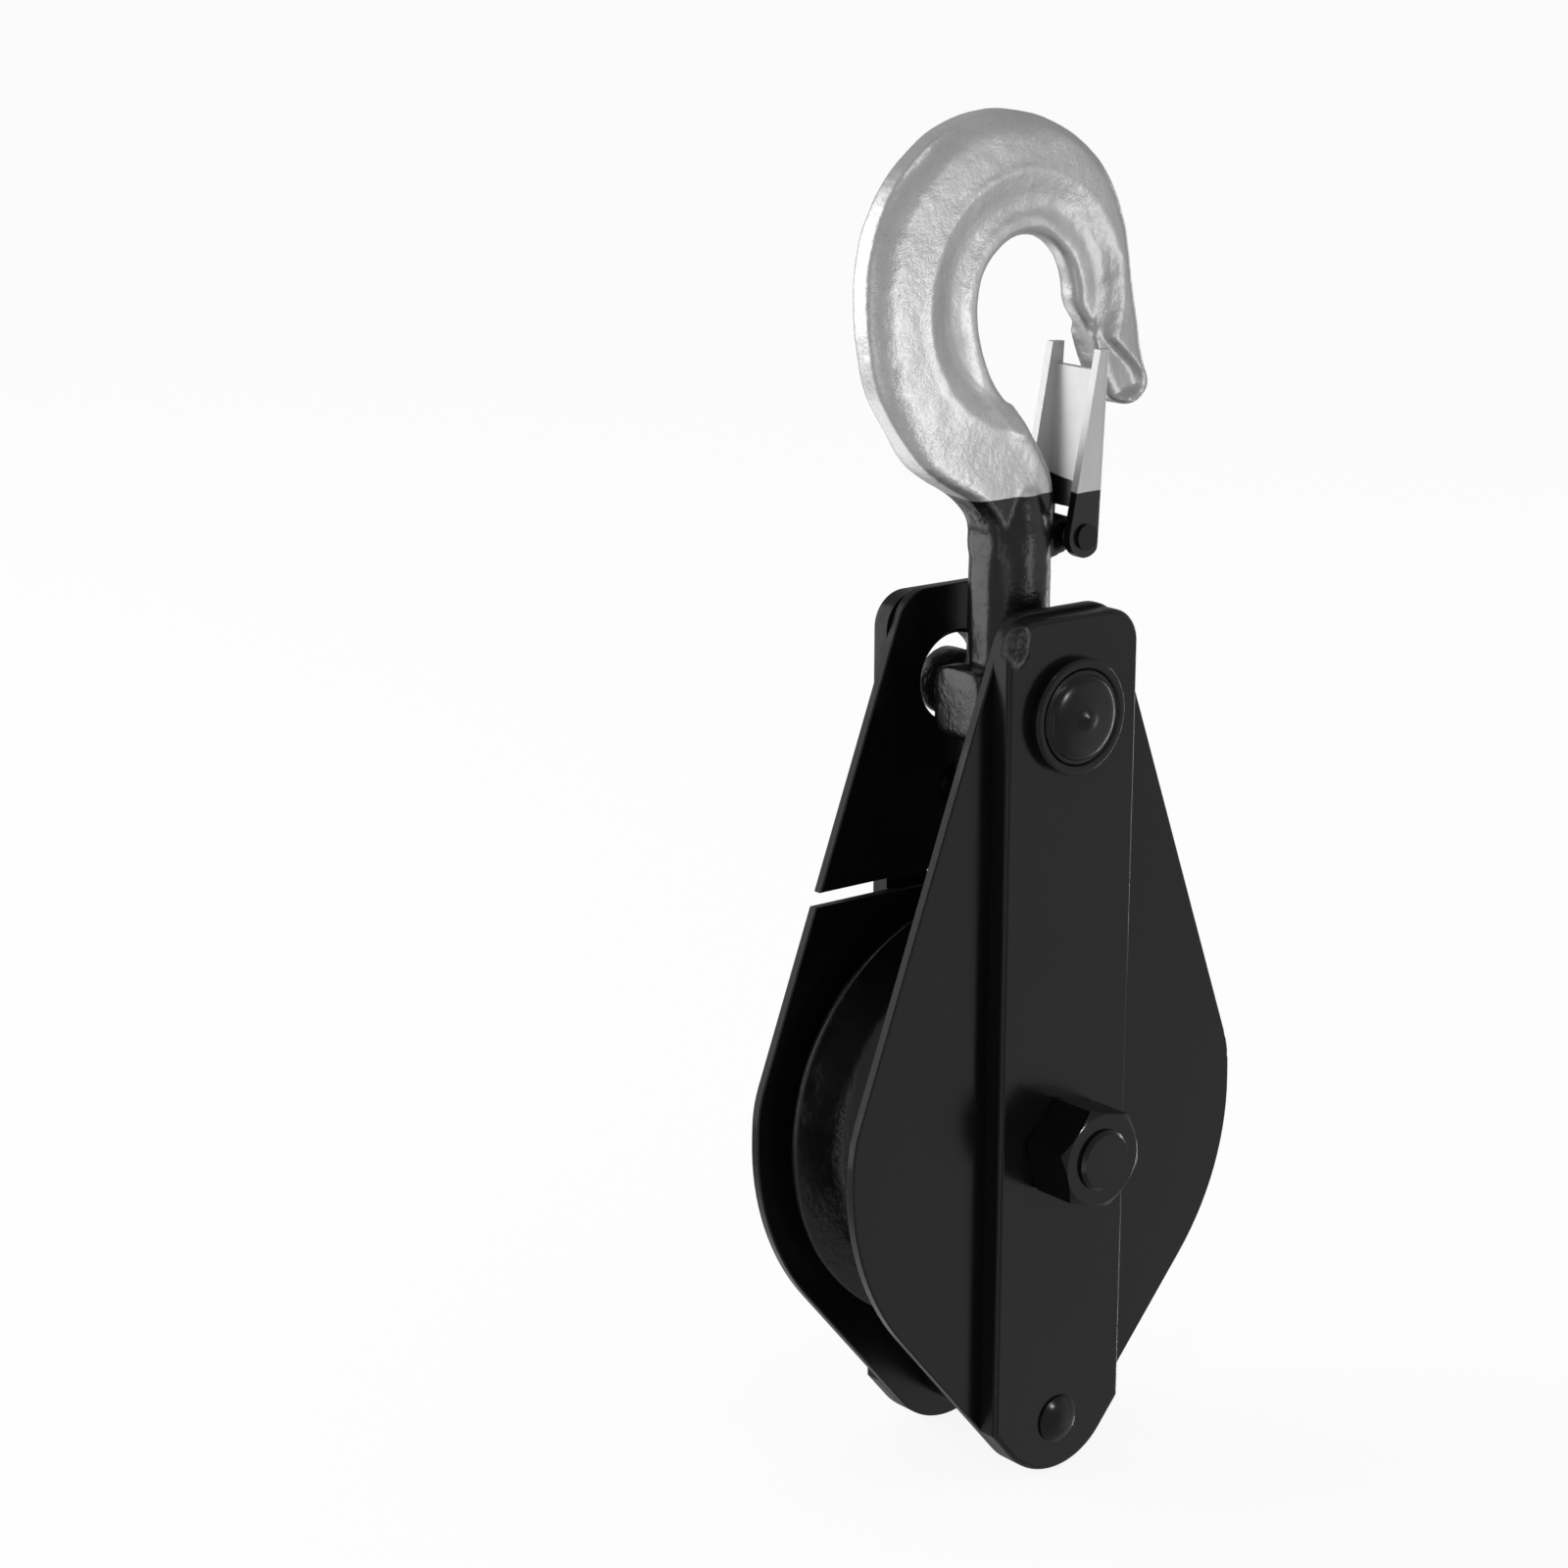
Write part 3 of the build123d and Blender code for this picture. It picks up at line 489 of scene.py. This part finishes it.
def forgedHalf(flat, spread, form):  # the forging's, with its bead, ridge, crown and shoulders
    mouth = arcLine(form["mouthCentre"], form["mouthRadius"], 0, 181, 12)
    inset = distanceToLine(flat, edgeLine("noseInside") + mouth + edgeLine("throat"))
    bowl = arcLine(form["bowlCentre"], form["bowlRadius"], -10, 196, 8)
    rim = distanceToLine(flat, bowl + edgeLine("spine"))
    backSide = 1 - smoothStep(flat[:, 0], *form["noseSide"])
    step = smoothStep(spread, form["softFoot"], form["bandRidge"])
    half = form["bandHalf"] + (form["fullHalf"] - form["bandHalf"]) * step
    half += form["ridgeHeight"] * bellCurve(spread, form["bandRidge"], form["ridgeWidth"]) * backSide
    outward = np.clip((spread - form["bandRidge"]) / form["crownWidth"], 0, 1)
    half -= form["crownDepth"] * (0.4 * outward + 0.6 * outward**2) * backSide
    aboveBead = flat[:, 1] > form["bandCentre"][1] - form["beadDrop"]
    bead = 1 - smoothStep(flat[:, 0], *form["beadEnd"]) * aboveBead
    half += bead * form["beadHeight"] * bellCurve(inset, form["beadInset"], form["beadWidth"])
    half -= form["shoulderDepth"] * (1 - smoothStep(rim, 0, form["shoulderWidth"])) * backSide
    return half - noseShare(flat, form) * np.clip(half - form["noseHalf"], 0, None)


def noseShare(flat, form):  # 1 on the cut-back nose, below its slanting step
    start, end = np.array(form["noseStart"]), np.array(form["noseEnd"])
    along = (end - start) / np.linalg.norm(end - start)
    below = (flat - start) @ np.array([along[1], -along[0]])
    share = smoothStep(below, *form["noseStep"]) * smoothStep(flat[:, 0], *form["noseRoot"])
    outside = distanceToLine(flat, edgeLine("noseOutside"))
    return share * (flat[:, 1] > form["noseBottom"]) * smoothStep(outside, *form["noseMargin"])


def squareFoot(place, form):  # the cross bar's rounded section becomes a square with soft corners
    y, z = place[:, 1], place[:, 2] - form["footHeight"]
    radius = np.hypot(y, z)
    power = form["footSquareness"]
    stretch = radius / np.maximum((np.abs(y) ** power + np.abs(z) ** power) ** (1 / power), 1e-6)
    nearBar = radius < form["footRadius"] * 1.03
    onBar = smoothStep(np.abs(place[:, 0]), *form["footShoulder"]) * nearBar
    place[:, 1] *= 1 + onBar * (stretch - 1)
    place[:, 2] += onBar * z * (stretch - 1)


def hammerMarks(place, form):
    push = np.zeros(len(place))
    for size, height in form["lumps"]:
        push += [height * (noise.noise(Vector(point) / size) - form["lumpSink"]) for point in place]
    return push * smoothStep(place[:, 2], *form["lumpFade"])


def forgeHook(form):
    piece = looseCopy("hook", "forgedHook")
    evenOut(piece, form)
    shape = piece.data
    place = readPoints(shape, "co")
    flat = place[:, [0, 2]]
    spread = np.linalg.norm(flat - np.array(form["bandCentre"]), axis=1)
    swell = np.minimum(forgedHalf(flat, spread, form) / solidHalf(spread, form), form["swellLimit"])
    place[:, 1] *= 1 - smoothStep(place[:, 2], *form["shankFade"]) * (1 - swell)
    squareFoot(place, form)
    movePoints(shape, place)
    place += readPoints(shape, "normal") * hammerMarks(place, form)[:, None]
    movePoints(shape, place)
    for face in shape.polygons:
        face.use_smooth = True
    dress(piece, hookPaint)
    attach(piece, "hook")
    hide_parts("hook")
    return piece


forgedHook = forgeHook(hookForm)
print("hook forged:", len(forgedHook.data.vertices), "points")


# Domed end of the front trunnion, with the small nipple left by its forming

trunnionCap = {
    "height": 99.0 * mm,
    "seat": 4.1 * mm,  # how far its foot lies behind the hook's foremost point
    "segments": 72,
    "profile": [  # radius and rise in mm, from the rim to the nipple
        (10.5, 0.05), (10.5, 1.35), (10.3, 1.5), (9.75, 1.5), (9.55, 1.6), (9.4, 1.95), (9.1, 2.3),
        (8.5, 2.7), (7.6, 3.05), (6.5, 3.35), (5.0, 3.62), (3.7, 3.8), (3.0, 3.93), (2.3, 4.15),
        (1.7, 4.42), (1.15, 4.68), (0.7, 4.84), (0.3, 4.9), (0.1, 4.91),
    ],
}


def makeCap(values, front):
    foot = front + values["seat"]
    count = values["segments"]
    points, faces = [], []
    for radius, rise in values["profile"]:
        for turn in range(count):
            angle = 2 * math.pi * turn / count
            reach = radius * mm
            x, z = reach * math.cos(angle), values["height"] + reach * math.sin(angle)
            points.append((x, foot - rise * mm, z))
    for ring in range(len(values["profile"]) - 1):
        for turn in range(count):
            here, beside = ring * count + turn, ring * count + (turn + 1) % count
            faces.append((here, beside, beside + count, here + count))
    faces.append(tuple(reversed(range(count))))
    faces.append(tuple(range(len(points) - count, len(points))))
    shape = bpy.data.meshes.new("trunnionCap")
    shape.from_pydata(points, [], faces)
    mesh = bmesh.new()
    mesh.from_mesh(shape)
    bmesh.ops.recalc_face_normals(mesh, faces=mesh.faces)
    mesh.to_mesh(shape)
    mesh.free()
    for face in shape.polygons:
        face.use_smooth = len(face.vertices) == 4
    cap = bpy.data.objects.new("trunnionCap", shape)
    bpy.context.scene.collection.objects.link(cap)
    dress(cap, capPaint)
    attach(cap, "hook")
    return cap


domedEnd = makeCap(trunnionCap, min(vertex.co.y for vertex in nodes["hook"].data.vertices))
print("trunnion cap made")


# Studio

camera = {
    "azimuth": -41.48,
    "elevation": 14.79,
    "roll": 1.01,
    "distance": 858.7 * mm,
    "sideways": -1.4 * mm,
    "upward": 76.07 * mm,
    "lens": 86.2,
    "sensor": 36.0,
    "opticalCentre": 1010.0,
    "photoWidth": 1600.0,
}

studio = {
    "ambient": 0.4,
    "background": 1.0,
    "floorHeight": -80.0 * mm,
    "floorReach": 6.0,
    "floorLevel": 0.8,
    "floorRoughness": 0.9,
    "floorGlow": 1.12,
    "floorShadow": 0.2,
    "lampAim": (0.0, 0.0, 0.08),
}

lamps = {
    "leftPanel": {"place": (-1.0, 1.1, 0.35), "size": (1.3, 1.6), "radiance": 2.0},
    "lowPanel": {"place": (-0.25, 1.15, -0.95), "size": (1.1, 0.9), "radiance": 1.15},
    "nearPanel": {"place": (0.17, -0.5, 0.0), "size": (0.14, 0.42), "radiance": 2.6},
    "frontPanel": {"place": (1.0, -0.95, -0.2), "size": (0.9, 1.6), "radiance": 0.24},
    "topSpark": {"place": (-0.3, -0.42, 1.1), "size": (0.13, 0.13), "radiance": 8.0},
    "peakSpark": {"place": (0.12, -1.2, 0.48), "size": (0.06, 0.06), "radiance": 250.0},
    "rightStrip": {"place": (1.33, 0.2, -0.25), "size": (0.06, 1.2), "radiance": 10.0},
    "edgeStrip": {"place": (-1.08, -0.96, -0.28), "size": (0.04, 1.3), "radiance": 6.0},
}


def placeCamera(values):
    azimuth, elevation, roll = (math.radians(values[name]) for name in ("azimuth", "elevation", "roll"))
    level = math.cos(elevation)
    forward = Vector((-math.sin(azimuth) * level, math.cos(azimuth) * level, -math.sin(elevation)))
    right = Vector((math.cos(azimuth), math.sin(azimuth), 0))
    up = right.cross(forward)
    rolledRight = right * math.cos(roll) + up * math.sin(roll)
    rolledUp = up * math.cos(roll) - right * math.sin(roll)
    viewer = bpy.data.objects.new("camera", bpy.data.cameras.new("camera"))
    viewer.data.lens = values["lens"]
    viewer.data.sensor_width = values["sensor"]
    viewer.data.shift_x = (values["photoWidth"] / 2 - values["opticalCentre"]) / values["photoWidth"]
    place = -forward * values["distance"] + rolledRight * values["sideways"] + rolledUp * values["upward"]
    turn = Matrix((rolledRight, rolledUp, -forward)).transposed().to_4x4()
    viewer.matrix_world = Matrix.Translation(place) @ turn
    bpy.context.scene.collection.objects.link(viewer)
    bpy.context.scene.camera = viewer


def makeWorld(values):
    world = bpy.data.worlds.new("studio")
    world.use_nodes = True
    tree = world.node_tree
    tree.nodes.clear()
    output = tree.nodes.new("ShaderNodeOutputWorld")
    path = tree.nodes.new("ShaderNodeLightPath")
    mix = tree.nodes.new("ShaderNodeMixShader")
    tree.links.new(path.outputs["Is Camera Ray"], mix.inputs[0])
    for socket, strength in ((1, values["ambient"]), (2, values["background"])):
        background = tree.nodes.new("ShaderNodeBackground")
        background.inputs["Color"].default_value = grey(1.0)
        background.inputs["Strength"].default_value = strength
        tree.links.new(background.outputs[0], mix.inputs[socket])
    tree.links.new(mix.outputs[0], output.inputs[0])
    bpy.context.scene.world = world


def makeFloor(values):
    mesh = bpy.data.meshes.new("floor")
    reach, height = values["floorReach"], values["floorHeight"]
    signs = ((-1, -1), (1, -1), (1, 1), (-1, 1))
    mesh.from_pydata([(x * reach, y * reach, height) for x, y in signs], [], [(0, 1, 2, 3)])
    floor = bpy.data.objects.new("floor", mesh)
    bpy.context.scene.collection.objects.link(floor)
    paper = Finish("floorPaper")
    paper.feed(Base_Color=grey(values["floorLevel"]), Roughness=values["floorRoughness"])
    seen = paper.node("ShaderNodeLightPath", output="Is Camera Ray")
    bounced = Signal(paper, seen.socket.node.outputs["Is Diffuse Ray"])
    glow = paper.node("ShaderNodeEmission", values={"Strength": values["floorGlow"]})
    lit = paper.mixShaders(seen * (1 - values["floorShadow"]), paper.shader.outputs[0], glow.socket)
    clear = paper.node("ShaderNodeBsdfTransparent")  # other rays pass the floor and meet the world
    paper.show(paper.mixShaders((seen + bounced).clamped(), clear.socket, lit))
    floor.data.materials.append(paper.material)


def addLamp(name, values, aim):
    place = Vector(values["place"])
    light = bpy.data.lights.new(name, "AREA")
    light.shape = "RECTANGLE"
    light.size, light.size_y = values["size"]
    light.energy = values["radiance"] * math.pi * light.size * light.size_y
    lamp = bpy.data.objects.new(name, light)
    lamp.location = place
    lamp.rotation_euler = (Vector(aim) - place).to_track_quat("-Z", "Y").to_euler()
    bpy.context.scene.collection.objects.link(lamp)
    return lamp


def lightOnly(lamp, *pieces):  # keeps a lamp that shapes one paint out of the other
    receivers = bpy.data.collections.new(lamp.name + "Receivers")
    for piece in pieces:
        receivers.objects.link(piece)
    lamp.light_linking.receiver_collection = receivers


placeCamera(camera)
makeWorld(studio)
makeFloor(studio)
rig = {lampName: addLamp(lampName, lampValues, studio["lampAim"]) for lampName, lampValues in lamps.items()}
lightOnly(rig["nearPanel"], forgedHook, nodes["latch"])
sparked = [nodes[nodeName] for nodeName in ("axle_nut", "axle_bolt", "bottom_rivet", "front_strap")]
lightOnly(rig["peakSpark"], domedEnd, *sparked)
bpy.context.scene.view_settings.view_transform = "Standard"
print("studio ready")

print("scene finished")
